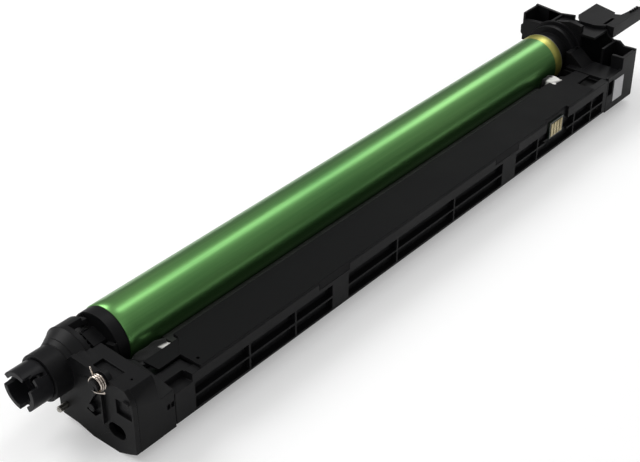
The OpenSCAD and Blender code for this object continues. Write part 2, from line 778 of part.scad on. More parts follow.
module blank_label() {
    color("#e6e6e6") slab(far_x + label_at[0], far_x + label_at[1], -side_out - 0.15, -side_out,
        label_z[0], label_z[1]);
}

// Charge roller, cleaner roller and their bearings

module charge_core() {
    color(steel) rod(near_bearing_x - 1.4, far_bearing_x + bearing_t + 2, charge_core_d, charge_y, charge_z);
}

module charge_rubber() {
    color("#3b3b3d") ring(charge_x, charge_x + charge_len, charge_d, charge_core_d + 2 * fit, charge_y, charge_z);
}

module cleaner_core() {
    color(steel) rod(near_bearing_x + 0.4, far_bearing_x + bearing_t - 0.4, cleaner_core_d, cleaner_y, cleaner_z);
}

module cleaner_foam() {
    color("#7a7a78") ring(charge_x + 2, charge_x + charge_len - 2, cleaner_d, cleaner_core_d + 2 * fit,
        cleaner_y, cleaner_z);
}

bearing_back = -partition_y + 0.2;
roller_spring_z = charge_z + 3.2;

module roller_bearing(x) {
    color("#dcd8cc") difference() {
        along_x(x) linear_extrude(bearing_t) difference() {
            polygon([
                [charge_y + 4.4, floor_z + air], [charge_y + 4.4, charge_z - 1], [charge_y + 1.6, charge_z + 4.6],
                [charge_y - 4.4, charge_z + 4.6], [charge_y - 4.6, cleaner_z + 2.6],
                [bearing_back, cleaner_z + 2.6], [bearing_back, floor_z + air]]);
            circle(d = drum_d + 2 * air);
        }
        rod(x - 1, x + bearing_t + 1, charge_core_d + 2 * run, charge_y, charge_z);
        rod(x - 1, x + bearing_t + 1, cleaner_core_d + 2 * run, cleaner_y, cleaner_z);
    }
}

module roller_bearing_near() { roller_bearing(near_bearing_x); }
module roller_bearing_far() { roller_bearing(far_bearing_x); }

module roller_spring(x) {
    wire = 0.5;
    gap = (charge_y - 4.6) - (-partition_y);
    turns = 5;
    pitch = (gap - wire - 0.3) / turns;
    color(steel) translate([x + bearing_t / 2, -partition_y + wire / 2 + 0.15, roller_spring_z])
        rotate([0, 0, 90]) coil(1.5, wire, turns, pitch, 12);
}

module roller_spring_near() { roller_spring(near_bearing_x); }
module roller_spring_far() { roller_spring(far_bearing_x); }

module bias_contact() {
    x = far_bearing_x + bearing_t + 2;
    leaf = 0.4;
    color(steel) union() {
        slab(x + 0.1, x + 0.1 + leaf, charge_y - 2, charge_y + 2, floor_z, charge_z + 2.6);
        slab(x + 0.1, x + 2.8, charge_y - 2, charge_y + 2, floor_z, floor_z + leaf);
    }
}

// Far end frame and grip

grip_z = 14.6;
wing_y = 24.5;
wing_top = 17.6;
deck_z = -1;
grip_edge = -3;
rest_y = -25.4;
inner_y = -16;

module far_outline() {
    polygon([
        [-side_out, base_z], [-side_out, 8], [-38, 7.6], [-34.8, 10], [-30.6, 9.6], [-27.6, 11.2],
        [rest_y, grip_z], [grip_edge, grip_z], [grip_edge, wing_top], [2.6, wing_top - 0.8],
        [7.1, wing_top - 1.5], [wing_y, wing_top], [wing_y, deck_z], [9, deck_z], [8, -6], [8, base_z]]);
}

module wing_outline() {
    polygon([
        [inner_y, base_z], [inner_y, 19], [-8, 20], [2, 17.4], [5, 13.6], [wing_y, 12.4], [wing_y, 9.2],
        [wing_y + 1.3, 8.6], [wing_y + 1.1, 3.4], [wing_y - 1.5, 0.8], [9, deck_z], [8, -6], [8, base_z]]);
}

// The rounds of the end moulding about the drum axis, as pairs of reach from the frame and diameter
far_steps = [[9, drum_d - 5], [11.5, drum_d + 3], [14.6, drum_d + 0.8], [16.2, drum_d + 6]];
step_low = -17;

module far_rounds() {
    starts = concat([0], [for (s = far_steps) s[0]]);
    for (i = [0 : len(far_steps) - 1])
        rod(far_x + starts[i] - (i > 0 ? eps : 0), far_x + far_steps[i][0], far_steps[i][1]);
}

module far_end_frame() {
    out_x = far_out - far_plate_t;
    room = base_z + 5.9;
    skin = 2;
    color(black) union() {
        difference() {
            union() {
                slab(far_x, far_out, -side_out, 8, base_z, -drum_r);
                slab(far_x, far_out, -side_out, -side_out + skin, base_z, 0);
                slab(far_x, inner_plate_x + 1, -side_out, step_low, base_z, deck_z);
                along_x(far_x + 4) linear_extrude(inner_plate_x - far_x - 4 + eps)
                    polygon([[-34, -7], [step_low, 6.4], [step_low + 3, 6.4], [step_low + 3, -7]]);
                along_x(out_x) linear_extrude(far_plate_t) far_outline();
                along_x(inner_plate_x) linear_extrude(inner_plate_t) wing_outline();
                far_rounds();
                slab(inner_plate_x, far_out, wing_y - wall, wing_y, deck_z, wing_top - 0.6);
                slab(inner_plate_x, far_out, 6, wing_y, deck_z, deck_z + wall);
                slab(inner_plate_x, far_out, 5, 5 + wall, deck_z, wing_top - 1.6);
                slab(inner_plate_x, far_out, rest_y, 6, grip_z - wall, grip_z);
                slab(inner_plate_x, far_out, -side_out, -side_out + skin, deck_z, 7.4);
                slab(inner_plate_x, inner_plate_x + skin, -side_out, -38, deck_z, 7.4);
                slab(inner_plate_x, far_out, -32.4, -32.4 + wall, base_z + 2, 9.4);
            }
            rod(far_x - 1, far_out + 1, pin_shank_d + 2 * fit);
            rod(far_x - 1, far_x + 9, auger_core_d - 1 + 2 * run, auger_y, auger_z);
            slab(far_x + 4, inner_plate_x - 4, -10, 7, base_z - 1, room);
            slab(far_x + 4, out_x - 3, -30, -12, base_z - 1, room);
            slab(far_x + 4, out_x - 3, -44, -34, base_z - 1, room - 2.6);
            slab(far_x + 1, far_x + 6.4, -side_out - 1, -side_out + 3, -12, -3);
            for (p = screw_spots)
                rod(far_x - 1, far_x + 7, screw_d, p[0], p[1]);
        }
        for (y = [-34, -13])
            slab(far_x + 4, far_out - 4, y, y + 4, foot_z, base_z + eps);
    }
}

// Flat grip plate with a side arm, and a row of finger ridges near the arm's tip
module pull_handle() {
    x0 = far_out - 4.4;
    x1 = far_out + grip_reach;
    x2 = x1 + arm_reach;
    arm_h = 5;
    slot_in = -21.4;
    slot_out = -23.3;
    slot_x = x1 - 12.3;
    arm_in = -25.4;
    arm_out = -29.2;
    ridges = 4;
    color(soft_black) union() {
        translate([0, 0, grip_z]) linear_extrude(grip_t) polygon([
            [x0, -18.4], [x0, -8.8], [far_out + 3, grip_edge], [x1 + 1, grip_edge], [x1 - 3.6, -18.8],
            [x1 - 7.7, -19.5], [slot_x, slot_in], [far_out + 1, slot_in], [far_out + 1, slot_out - 0.7],
            [far_out - 1, slot_out - 0.7]]);
        translate([0, 0, grip_z - arm_h]) linear_extrude(grip_t + arm_h) polygon([
            [far_out + 0.2, slot_out], [slot_x, slot_out], [slot_x, slot_in + 0.8], [x1 - 6, -19.6],
            [x1 - 4, slot_out], [x2 - 3, arm_in], [x2, arm_in - 2], [x2, arm_out + 0.4], [x2 - 4, arm_out],
            [far_out + 0.2, arm_out]]);
        for (i = [0 : ridges - 1])
            translate([x2 - 13 + i * 2.6, arm_in - 0.6, grip_z - arm_h])
                cylinder(h = grip_t + arm_h + 1, d = 1.8, $fn = 24);
    }
}

// Screws that hold the end frames to the long frame
module end_screws() {
    color(steel) for (p = screw_spots) {
        rod(frame_x - air - 5.6, frame_x + 5.6, screw_d - 2 * fit, p[0], p[1]);
        rod(far_x - air - 5.6, far_x + 5.6, screw_d - 2 * fit, p[0], p[1]);
    }
}

main_frame();
top_cover();
near_end_frame();
near_end_plate();
near_bush();
far_end_frame();
pull_handle();
drum_pin();
torsion_spring();
guide_pin();
blade_bracket();
cleaning_blade();
bracket_screws();
end_screws();
felt_seal_near();
felt_seal_far();
film_seal();
chip_board();
chip_contacts();
blank_label();
roller_bearing_near();
roller_bearing_far();
roller_spring_near();
roller_spring_far();
bias_contact();
drum_tube();
drive_flange();
drive_coupling();
drum_gear();
far_flange();
earth_contact();
idler_gear();
auger();
auger_gear();
charge_core();
charge_rubber();
cleaner_core();
cleaner_foam();
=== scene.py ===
"""Looks of a printer drum unit: a coated drum in a long black frame with geared ends.

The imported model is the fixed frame. This script softens the moulded pieces, makes the drum skin, springs and
felts, and gives every surface its own finish.
"""
import logging
import math
from dataclasses import dataclass
from enum import Enum
from functools import cache

import bmesh
import bpy
import numpy as np
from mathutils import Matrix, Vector


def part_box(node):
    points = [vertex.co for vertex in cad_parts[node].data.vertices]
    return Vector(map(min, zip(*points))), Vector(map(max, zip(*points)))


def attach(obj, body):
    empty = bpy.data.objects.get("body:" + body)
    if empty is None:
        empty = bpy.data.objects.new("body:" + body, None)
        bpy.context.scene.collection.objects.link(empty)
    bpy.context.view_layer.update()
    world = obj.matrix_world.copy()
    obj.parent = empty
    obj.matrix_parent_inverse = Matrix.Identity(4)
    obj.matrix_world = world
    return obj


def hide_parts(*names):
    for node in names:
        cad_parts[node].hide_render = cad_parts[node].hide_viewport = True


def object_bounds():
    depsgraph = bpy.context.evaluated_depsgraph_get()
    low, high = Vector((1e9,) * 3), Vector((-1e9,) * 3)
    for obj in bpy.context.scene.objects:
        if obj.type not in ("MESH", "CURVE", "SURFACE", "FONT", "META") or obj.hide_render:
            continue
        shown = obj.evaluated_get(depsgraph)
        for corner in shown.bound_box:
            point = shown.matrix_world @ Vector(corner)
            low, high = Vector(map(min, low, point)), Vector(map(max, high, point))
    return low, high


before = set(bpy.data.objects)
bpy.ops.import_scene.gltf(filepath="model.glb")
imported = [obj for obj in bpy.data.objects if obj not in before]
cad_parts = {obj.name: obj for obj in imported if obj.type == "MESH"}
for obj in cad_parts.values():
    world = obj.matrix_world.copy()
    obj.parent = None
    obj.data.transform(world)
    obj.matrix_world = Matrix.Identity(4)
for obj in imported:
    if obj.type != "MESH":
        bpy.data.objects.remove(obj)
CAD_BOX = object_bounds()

LOG = logging.getLogger("drum_unit")
MM = 0.001
SAME_POINT = 1e-7
DOME_RINGS = 3

Colour = tuple[float, float, float, float]
Point = tuple[float, float, float]
WHITE: Colour = (1.0, 1.0, 1.0, 1.0)


class Body(Enum):
    """The bodies that pieces ride on."""

    FRAME = "frame"
    DRUM = "drum"
    IDLER = "idler"
    AUGER = "auger"
    CHARGE = "charge_roller"
    CLEANER = "cleaner_roller"


def shade(red: int, green: int, blue: int) -> Colour:
    """Turns a colour as seen on a screen into the linear light that a shader takes.

    Args:
        red: Screen level of red, 0 to 255.
        green: Screen level of green, 0 to 255.
        blue: Screen level of blue, 0 to 255.

    Returns:
        The linear colour with an alpha of 1.
    """
    levels = np.array([red, green, blue]) / 255
    linear = np.where(levels <= 0.04045, levels / 12.92, ((levels + 0.055) / 1.055) ** 2.4)
    return (*(float(v) for v in linear), 1.0)


class Term:
    """A number or colour at a shader socket; sums and products of it add Math nodes."""

    def __init__(self, graph: "Tree", socket: bpy.types.NodeSocket) -> None:
        """Keeps the socket and the tree it belongs to."""
        self.graph = graph
        self.socket = socket

    def math(self, operation: str, *values: "Term | float") -> "Term":
        """Adds one Math node.

        Args:
            operation: The Math node's operation.
            values: Its inputs in order.

        Returns:
            The result.
        """
        return self.graph.term("ShaderNodeMath", {"operation": operation}, dict(enumerate(values)))

    def __add__(self, other: "Term | float") -> "Term":
        """This plus other."""
        return self.math("ADD", self, other)

    def __radd__(self, other: float) -> "Term":
        """A number plus this."""
        return self.math("ADD", other, self)

    def __sub__(self, other: "Term | float") -> "Term":
        """This less other."""
        return self.math("SUBTRACT", self, other)

    def __rsub__(self, other: float) -> "Term":
        """A number less this."""
        return self.math("SUBTRACT", other, self)

    def __mul__(self, other: "Term | float") -> "Term":
        """This times other."""
        return self.math("MULTIPLY", self, other)

    def __rmul__(self, other: float) -> "Term":
        """A number times this."""
        return self.math("MULTIPLY", other, self)

    def step(self, low: float, high: float) -> "Term":
        """Rises smoothly from 0 at low to 1 at high.

        Args:
            low: The value that gives 0.
            high: The value that gives 1.

        Returns:
            The mask.
        """
        inputs = {"Value": self, "From Min": low, "From Max": high}
        return self.graph.term("ShaderNodeMapRange", {"interpolation_type": "SMOOTHSTEP"}, inputs)


class Tree:
    """The node tree of a material or of the world."""

    def __init__(self, owner: bpy.types.Material | bpy.types.World, output: str) -> None:
        """Empties the owner's tree and adds its output.

        Args:
            owner: The material or the world.
            output: The type of its output node.
        """
        owner.use_nodes = True
        self.tree = owner.node_tree
        self.tree.nodes.clear()
        self.output = self.node(output)

    def node(self, kind: str, settings: dict | None = None, inputs: dict | None = None) -> bpy.types.Node:
        """Adds a node.

        Args:
            kind: The node's type.
            settings: Its settings, made first.
            inputs: Values or Terms by the socket's name or number.

        Returns:
            The node.
        """
        made = self.tree.nodes.new(kind)
        for key, value in (settings or {}).items():
            setattr(made, key, value)
        for key, value in (inputs or {}).items():
            self.feed(made.inputs[key], value)
        return made

    def term(self, kind: str, settings: dict | None = None, inputs: dict | None = None,
             output: int | str = 0) -> Term:
        """Adds a node as node() does and gives one of its outputs."""
        return Term(self, self.node(kind, settings, inputs).outputs[output])

    def feed(self, socket: bpy.types.NodeSocket, value: Term | float | Colour) -> None:
        """Links a Term to a socket, or sets the socket's own value."""
        if isinstance(value, Term):
            self.tree.links.new(value.socket, socket)
        else:
            socket.default_value = value

    def show(self, surface: Term) -> None:
        """Puts a shader on the output."""
        self.feed(self.output.inputs["Surface"], surface)


class Graph(Tree):
    """The node tree of one material, with the patterns that the finishes are made of."""

    def __init__(self, material: bpy.types.Material) -> None:
        """Empties the material's tree and puts a Principled shader on its output."""
        super().__init__(material, "ShaderNodeOutputMaterial")
        self.shader = self.node("ShaderNodeBsdfPrincipled")
        self.show(Term(self, self.shader.outputs[0]))
        self._place: Term | None = None

    @property
    def place(self) -> Term:
        """The point of the piece, in metres from its origin."""
        if self._place is None:
            self._place = self.term("ShaderNodeTexCoord", output="Object")
        return self._place

    def along(self, axis: int) -> Term:
        """One coordinate of the point, 0 for X, 1 for Y and 2 for Z."""
        return self.term("ShaderNodeSeparateXYZ", inputs={0: self.place}, output=axis)

    def stretched(self, factors: Point) -> Term:
        """The point with each coordinate multiplied, so that a pattern on it is drawn out."""
        return self.term("ShaderNodeVectorMath", {"operation": "MULTIPLY"}, {0: self.place, 1: factors})

    def noise(self, size: float, detail: float = 2.0, where: Term | None = None, rough: float = 0.5) -> Term:
        """A cloudy pattern of 0 to 1.

        Args:
            size: The width of one cloud in metres.
            detail: How many finer layers it has.
            where: The point it reads, or the piece's own place.
            rough: How strong the finer layers are.

        Returns:
            The pattern.
        """
        where = where or self.place
        inputs = {"Vector": where, "Scale": 1 / size, "Detail": detail, "Roughness": rough}
        return self.term("ShaderNodeTexNoise", inputs=inputs)

    def cells(self, size: float) -> Term:
        """Distance to the nearest of a field of scattered points, in steps of size metres."""
        return self.term("ShaderNodeTexVoronoi", inputs={"Vector": self.place, "Scale": 1 / size})

    def mix(self, factor: Term | float, first: Term | Colour, second: Term | Colour) -> Term:
        """Blends two colours, first where the factor is 0."""
        return self.term("ShaderNodeMix", {"data_type": "RGBA"}, {0: factor, 6: first, 7: second}, 2)

    def bump(self, height: Term, distance: float, strength: float = 1.0,
             under: Term | None = None) -> Term:
        """Bends the surface's normal by a height.

        Args:
            height: The height pattern, 0 to 1.
            distance: How far 1 stands above 0, in metres.
            strength: The share of the effect.
            under: A bump beneath this one.

        Returns:
            The bent normal.
        """
        inputs: dict = {"Height": height, "Distance": distance, "Strength": strength}
        if under is not None:
            inputs["Normal"] = under
        return self.term("ShaderNodeBump", inputs=inputs)

    def dress(self, **inputs: Term | float | Colour) -> None:
        """Sets the Principled shader's sockets, with _ for a space in a name."""
        for key, value in inputs.items():
            self.feed(self.shader.inputs[key.replace("_", " ")], value)


@dataclass(frozen=True)
class Finish:
    """One finish: its material is made when first asked for."""

    name: str

    def paint(self, graph: Graph) -> None:
        """Builds the finish on the graph; each kind of finish has its own."""
        raise NotImplementedError

    @cache
    def material(self) -> bpy.types.Material:
        """The finish's material, made once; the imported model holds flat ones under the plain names."""
        made = bpy.data.materials.new(self.name + "_finish")
        self.paint(Graph(made))
        return made


@dataclass(frozen=True)
class MouldedPlastic(Finish):
    """Black or dark moulded plastic with a spark-eroded grain, flow clouds and light handling marks."""

    colour: Colour = shade(13, 13, 14)
    worn: Colour = shade(34, 34, 37)
    roughness: float = 0.46
    grain: float = 0.35 * MM
    grain_depth: float = 0.012 * MM
    specular: float = 0.14

    def paint(self, graph: Graph) -> None:
        """Clouds shift colour and gloss, streaks of fine rubbing lighten it, and a grain roughens it."""
        clouds = graph.noise(28 * MM, 3)
        rubbing = graph.noise(1.1 * MM, 3, graph.stretched((0.12, 1.0, 1.0)), 0.6).step(0.60, 0.82)
        patches = graph.noise(16 * MM, 2, graph.stretched((0.6, 1.0, 1.0))).step(0.5, 0.75)
        marks = rubbing * patches
        tone = graph.mix(marks * 0.35 + (clouds - 0.5) * 0.18 + 0.05, self.colour, self.worn)
        grain = graph.noise(self.grain, 2)
        wave = graph.noise(9 * MM, 2)
        graph.dress(
            Base_Color=tone,
            Roughness=(clouds - 0.5) * 0.22 + marks * 0.1 + self.roughness,
            Specular_IOR_Level=self.specular,
            Normal=graph.bump(grain, self.grain_depth, under=graph.bump(wave, 0.05 * MM, 0.5)),
        )


@dataclass(frozen=True)
class DrumCoat(Finish):
    """Green organic coating over aluminium, with an olive undercoat band where the coating stops."""

    coat: Colour = shade(120, 174, 102)
    deep: Colour = shade(76, 130, 71)
    band: Colour = shade(204, 200, 104)
    bare: Colour = shade(170, 170, 160)
    band_width: float = 7.8 * MM
    bare_far: float = 0.8 * MM
    edge: float = 0.25 * MM
    roughness: float = 0.31

    def paint(self, graph: Graph) -> None:
        """Masks pick coat, band and bare metal; clouds vary it, streaks paint reflections on it, rings bump
        it.
        """
        along = graph.along(0)
        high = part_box("drum_tube")[1].x
        clouds = graph.noise(60 * MM, 2, graph.stretched((0.5, 1.0, 1.0)))
        rings = graph.noise(0.7 * MM, 2, graph.stretched((1.0, 0.02, 0.02)))
        # Lengthwise streaks: in the colour they are painted reflections of the surroundings; in the roughness
        # they vary the gloss.
        streaks = graph.noise(2.4 * MM, 3, graph.stretched((0.02, 1.0, 1.0)), 0.6)
        # The coat runs between its two tones by random clouds and by the painted reflection streaks.
        coated = graph.mix((clouds - 0.5) * 0.8 + (streaks - 0.5) * 0.9 + 0.4, self.coat, self.deep)
        ended = along.step(high - self.band_width, high - self.band_width + self.edge)
        tipped = along.step(high - self.bare_far, high - self.bare_far + self.edge)
        colour = graph.mix(ended, coated, self.band)
        colour = graph.mix(tipped, colour, self.bare)
        graph.dress(
            Base_Color=colour,
            Metallic=0.92,
            Roughness=(clouds - 0.5) * 0.08 + (streaks - 0.5) * 0.12 + ended * 0.08 + self.roughness,
            Coat_Weight=0.12,
            Coat_Roughness=0.08,
            Normal=graph.bump(rings, 0.0006 * MM, 0.3),
        )


@dataclass(frozen=True)
class Metal(Finish):
    """Drawn or turned metal with fine lines along its length and faint tarnish."""

    colour: Colour = shade(196, 193, 186)
    tarnish: Colour = shade(150, 146, 138)
    roughness: float = 0.28
    lines: Point = (0.04, 1.0, 1.0)

    def paint(self, graph: Graph) -> None:
        """Drawn lines roughen it and clouds of tarnish darken it."""
        lines = graph.noise(0.25 * MM, 2, graph.stretched(self.lines))
        clouds = graph.noise(7 * MM, 3)
        graph.dress(
            Base_Color=graph.mix(clouds.step(0.4, 0.75), self.colour, self.tarnish),
            Metallic=1.0,
            Roughness=(lines - 0.5) * 0.25 + (clouds - 0.5) * 0.15 + self.roughness,
            Normal=graph.bump(lines, 0.004 * MM, 0.6),
        )


@dataclass(frozen=True)
class Elastic(Finish):
    """Rubber or urethane: matt, with a ground surface."""

    colour: Colour = shade(52, 52, 54)
    bloom: Colour = shade(84, 84, 86)
    roughness: float = 0.62

    def paint(self, graph: Graph) -> None:
        """Fine grinding lines and a pale bloom in patches."""
        clouds = graph.noise(12 * MM, 3)
        ground = graph.noise(0.3 * MM, 2, graph.stretched((1.0, 0.2, 0.2)))
        graph.dress(
            Base_Color=graph.mix(clouds.step(0.45, 0.8) * 0.5, self.colour, self.bloom),
            Roughness=(ground - 0.5) * 0.2 + self.roughness,
            Normal=graph.bump(ground, 0.01 * MM, 0.7),
        )


@dataclass(frozen=True)
class Sponge(Finish):
    """Open foam: a field of small pores, painted dark as the shade inside them."""

    colour: Colour = shade(70, 70, 72)
    pore_shade: Colour = shade(20, 20, 21)

    def paint(self, graph: Graph) -> None:
        """Pores are the middles of scattered cells; their dark colour is painted shade, and the bump dents
        them in.
        """
        pores = graph.cells(0.7 * MM).step(0.15, 0.55)
        graph.dress(
            # The pore colour is painted shade in the holes.
            Base_Color=graph.mix(pores, self.pore_shade, self.colour),
            Roughness=0.9,
            Normal=graph.bump(pores, 0.2 * MM),
        )


@dataclass(frozen=True)
class FeltCloth(Finish):
    """White pressed felt with short fibres lying every way, black with toner towards the drum."""

    colour: Colour = shade(226, 224, 220)
    soiled: Colour = shade(150, 149, 150)
    toner: Colour = shade(7, 7, 7)
    clean_x: float = 59.0 * MM
    clean_y: float = -21.6 * MM
    black_y: float = -20.2 * MM

    def paint(self, graph: Graph) -> None:
        """Crossed streaks are the fibres; the toner lies in soft clouds and fills the side by the drum."""
        fibres = graph.noise(0.16 * MM, 3, graph.stretched((0.35, 1.0, 1.0)), 0.7)
        crossed = graph.noise(0.14 * MM, 3, graph.stretched((1.0, 0.4, 0.6)), 0.7)
        toner = graph.noise(3 * MM, 3)
        cloth = graph.mix(toner.step(0.45, 0.8) * 0.7 + (fibres - 0.5) * 0.3, self.colour, self.soiled)
        near_drum = (graph.along(1) + (toner - 0.5) * 2 * MM).step(self.clean_y, self.black_y)
        near_end = 1.0 - graph.along(0).step(self.clean_x, self.clean_x + MM)
        spent = near_drum.math("MAXIMUM", near_drum, near_end)
        graph.dress(
            Base_Color=graph.mix(spent, cloth, self.toner),
            Roughness=0.95,
            Sheen_Weight=0.1,
            Normal=graph.bump(fibres + crossed, 0.06 * MM),
        )


@dataclass(frozen=True)
class LabelPaper(Finish):
    """Bare label stock with a satin face."""

    colour: Colour = shade(198, 198, 200)
    edge: Colour = shade(182, 182, 184)

    def paint(self, graph: Graph) -> None:
        """Paper clouds tint it and a fine tooth roughens it."""
        clouds = graph.noise(4 * MM, 3)
        tooth = graph.noise(0.12 * MM, 2)
        graph.dress(
            Base_Color=graph.mix(clouds, self.colour, self.edge),
            Roughness=(tooth - 0.5) * 0.1 + 0.5,
            Normal=graph.bump(tooth, 0.006 * MM, 0.6),
        )


@dataclass(frozen=True)
class CircuitBoard(Finish):
    """Dark green solder mask over glass cloth."""

    colour: Colour = shade(16, 26, 20)
    thread: Colour = shade(26, 40, 30)

    def paint(self, graph: Graph) -> None:
        """A fine square weave shows faintly through the mask."""
        weave = graph.noise(0.3 * MM, 1, graph.stretched((1.0, 1.0, 0.3)))
        graph.dress(
            Base_Color=graph.mix(weave.step(0.4, 0.7), self.colour, self.thread),
            Roughness=(weave - 0.5) * 0.1 + 0.35,
            Coat_Weight=0.5,
            Normal=graph.bump(weave, 0.01 * MM, 0.5),
        )


class Finishes:
    """The finishes of this unit."""

    black = MouldedPlastic("black_plastic")
    cover = MouldedPlastic("cover_plastic", shade(11, 11, 12), shade(28, 28, 31),
                           0.56, 0.5 * MM, 0.012 * MM, 0.09)
    coupling = MouldedPlastic("coupling_plastic", shade(20, 20, 22), shade(40, 40, 44),
                              0.36, 0.6 * MM, 0.006 * MM)
    gear = MouldedPlastic("gear_plastic", shade(22, 22, 23), shade(50, 50, 54), 0.4, 0.5 * MM, 0.006 * MM)
    bush = MouldedPlastic("bush_plastic", shade(28, 28, 31), shade(52, 52, 58), 0.34, 0.5 * MM, 0.006 * MM)
    drum = DrumCoat("drum_green")
    steel = Metal("steel")
    bracket = Metal("bracket_steel", shade(96, 96, 98), shade(60, 60, 62), 0.4)
    spring = Metal("spring_steel", shade(206, 196, 186), shade(150, 138, 128), 0.22, (1.0, 1.0, 1.0))
    gold = Metal("gold", shade(204, 190, 150), shade(168, 154, 118), 0.3)
    blade = Elastic("blade_rubber", shade(30, 30, 30), shade(48, 48, 47), 0.5)
    rubber = Elastic("roller_rubber")
    foam = Sponge("foam")
    felt = FeltCloth("felt")
    far_felt = FeltCloth("felt", clean_y=-21.0 * MM, black_y=-19.0 * MM)
    film = MouldedPlastic("film", shade(26, 26, 28), shade(48, 48, 52), 0.24, 0.8 * MM, 0.003 * MM)
    board = CircuitBoard("board")
    label = LabelPaper("label")


def put(mesh: bpy.types.Mesh, finish: Finish, body: Body, *stands_for: str) -> bpy.types.Object:
    """Makes a piece of a mesh and gives it its finish and body.

    Args:
        mesh: The mesh, placed in the frame; its name becomes the piece's.
        finish: The finish of the whole piece.
        body: The body that it rides on.
        stands_for: The nodes that it replaces.

    Returns:
        The piece.
    """
    piece = bpy.data.objects.new(mesh.name, mesh)
    bpy.context.scene.collection.objects.link(piece)
    mesh.materials.clear()
    mesh.materials.append(finish.material())
    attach(piece, body.value)
    if stands_for:
        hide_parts(*stands_for)
    LOG.info("made %s on %s", piece.name, body.value)
    return piece


def keep(finish: Finish, *nodes: str) -> None:
    """Gives a finish to nodes whose own shape is right.

    Args:
        finish: The finish.
        nodes: The nodes that take it.
    """
    for node in nodes:
        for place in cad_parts[node].material_slots:
            place.material = finish.material()
        LOG.info("dressed %s", node)


def woven(name: str, points: np.ndarray, round_u: bool = False, round_v: bool = False) -> bpy.types.Mesh:
    """Makes a mesh of a grid of points.

    Each square joins point (i, j) to its neighbours (i + 1, j), (i + 1, j + 1) and (i, j + 1), counted round
    again where the grid closes. Points that coincide, as at a pole, are merged.

    Args:
        name: The mesh's name.
        points: The grid, rows by columns by three, in metres.
        round_u: Whether the last row joins the first.
        round_v: Whether the last column joins the first.

    Returns:
        The mesh, facing outwards, with smooth shading.
    """
    rows, columns = points.shape[:2]
    steps_u, steps_v = rows if round_u else rows - 1, columns if round_v else columns - 1
    i, j = np.meshgrid(np.arange(steps_u), np.arange(steps_v), indexing="ij")
    row, next_row = i * columns, (i + 1) % rows * columns
    next_j = (j + 1) % columns
    corners = np.stack([row + j, next_row + j, next_row + next_j, row + next_j], -1)
    mesh = bpy.data.meshes.new(name)
    mesh.from_pydata(points.reshape(-1, 3), [], corners.reshape(-1, 4))
    tidy = bmesh.new()
    tidy.from_mesh(mesh)
    bmesh.ops.remove_doubles(tidy, verts=tidy.verts, dist=SAME_POINT)
    bmesh.ops.recalc_face_normals(tidy, faces=tidy.faces)
    tidy.to_mesh(mesh)
    tidy.free()
    mesh.polygons.foreach_set("use_smooth", np.ones(len(mesh.polygons), bool))
    mesh.update()
    return mesh


def turned(name: str, profile: np.ndarray, middle: tuple[float, float], parts: int) -> bpy.types.Mesh:
    """Turns a closed profile about a line along X.

    A point of the mesh is (x, y0 + r cos t, z0 + r sin t), where (x, r) runs round the profile and t round
    the line.

    Args:
        name: The mesh's name.
        profile: Rows of x and radius in metres, closed on itself.
        middle: The line's y and z.
        parts: How many steps go round.

    Returns:
        The mesh.
    """
    t = np.linspace(0, 2 * np.pi, parts, endpoint=False)
    x, r = profile[:, :1], profile[:, 1:]
    grid = np.stack(np.broadcast_arrays(x, middle[0] + r * np.cos(t), middle[1] + r * np.sin(t)), -1)
    return woven(name, grid, True, True)


def drawn(name: str, path: np.ndarray, radius: float, sides: int, across: Point) -> bpy.types.Mesh:
    """Carries a round section along a path.

    The section at a point lies in the plane square to the path, spanned by the cross product of the path's
    direction with a fixed direction and by its cross product again; a dome of three rings closes each end.

    Args:
        name: The mesh's name.
        path: Rows of points in metres.
        radius: The section's radius in metres.
        sides: How many points go round the section.
        across: The fixed direction, never along the path.

    Returns:
        The mesh.
    """
    direction = np.gradient(path, axis=0)
    direction /= np.linalg.norm(direction, axis=1, keepdims=True)
    opening = np.linspace(0, np.pi / 2, DOME_RINGS, endpoint=False)
    closing = opening[::-1]
    start = path[0] - direction[0] * radius * np.cos(opening[:, None])
    end = path[-1] + direction[-1] * radius * np.cos(closing[:, None])
    sizes = np.concatenate([np.sin(opening), np.ones(len(path)), np.sin(closing)]) * radius
    middles = np.concatenate([start, path, end])
    ways = np.pad(direction, ((DOME_RINGS, DOME_RINGS), (0, 0)), "edge")
    first = np.cross(ways, np.array(across, float))
    first /= np.linalg.norm(first, axis=1, keepdims=True)
    second = np.cross(ways, first)
    b = np.linspace(0, 2 * np.pi, sides, endpoint=False)[None, :, None]
    round_it = first[:, None] * np.cos(b) + second[:, None] * np.sin(b)
    return woven(name, middles[:, None] + sizes[:, None, None] * round_it, False, True)


@dataclass
class Softener:
    """Makes a softened copy of a moulded node: its doubles are merged and its long edges rounded."""

    width: float = 0.22 * MM
    sharp: float = math.radians(32)
    segments: int = 2
    merge: float = 2e-6

    def copy(self, node: str) -> bpy.types.Mesh:
        """Copies a node's mesh, joins its loose triangles and marks its sharp edges.

        Args:
            node: The node.

        Returns:
            The mesh, with a bevel weight on each edge that is rounded.
        """
        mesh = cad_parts[node].data.copy()
        mesh.name = node + "_soft"
        work = bmesh.new()
        work.from_mesh(mesh)
        bmesh.ops.remove_doubles(work, verts=work.verts, dist=self.merge)
        weight = work.edges.layers.float.new("bevel_weight_edge")
        for edge in work.edges:
            if len(edge.link_faces) == 2:
                angle = edge.calc_face_angle(0)
                edge.smooth = angle < self.sharp
                edge[weight] = float(angle > self.sharp and edge.calc_length() > self.width)
        work.to_mesh(mesh)
        work.free()
        mesh.polygons.foreach_set("use_smooth", np.ones(len(mesh.polygons), bool))
        mesh.update()
        return mesh

    def soften(self, node: str, finish: Finish, body: Body) -> bpy.types.Object:
        """Puts a softened copy of a node in its place.

        Args:
            node: The node.
            finish: Its finish.
            body: Its body.

        Returns:
            The piece.
        """
        piece = put(self.copy(node), finish, body, node)
        edge = piece.modifiers.new("edge", "BEVEL")
        edge.limit_method = "WEIGHT"
        edge.width = self.width
        edge.segments = self.segments
        edge.use_clamp_overlap = False
        edge.harden_normals = True
        return piece


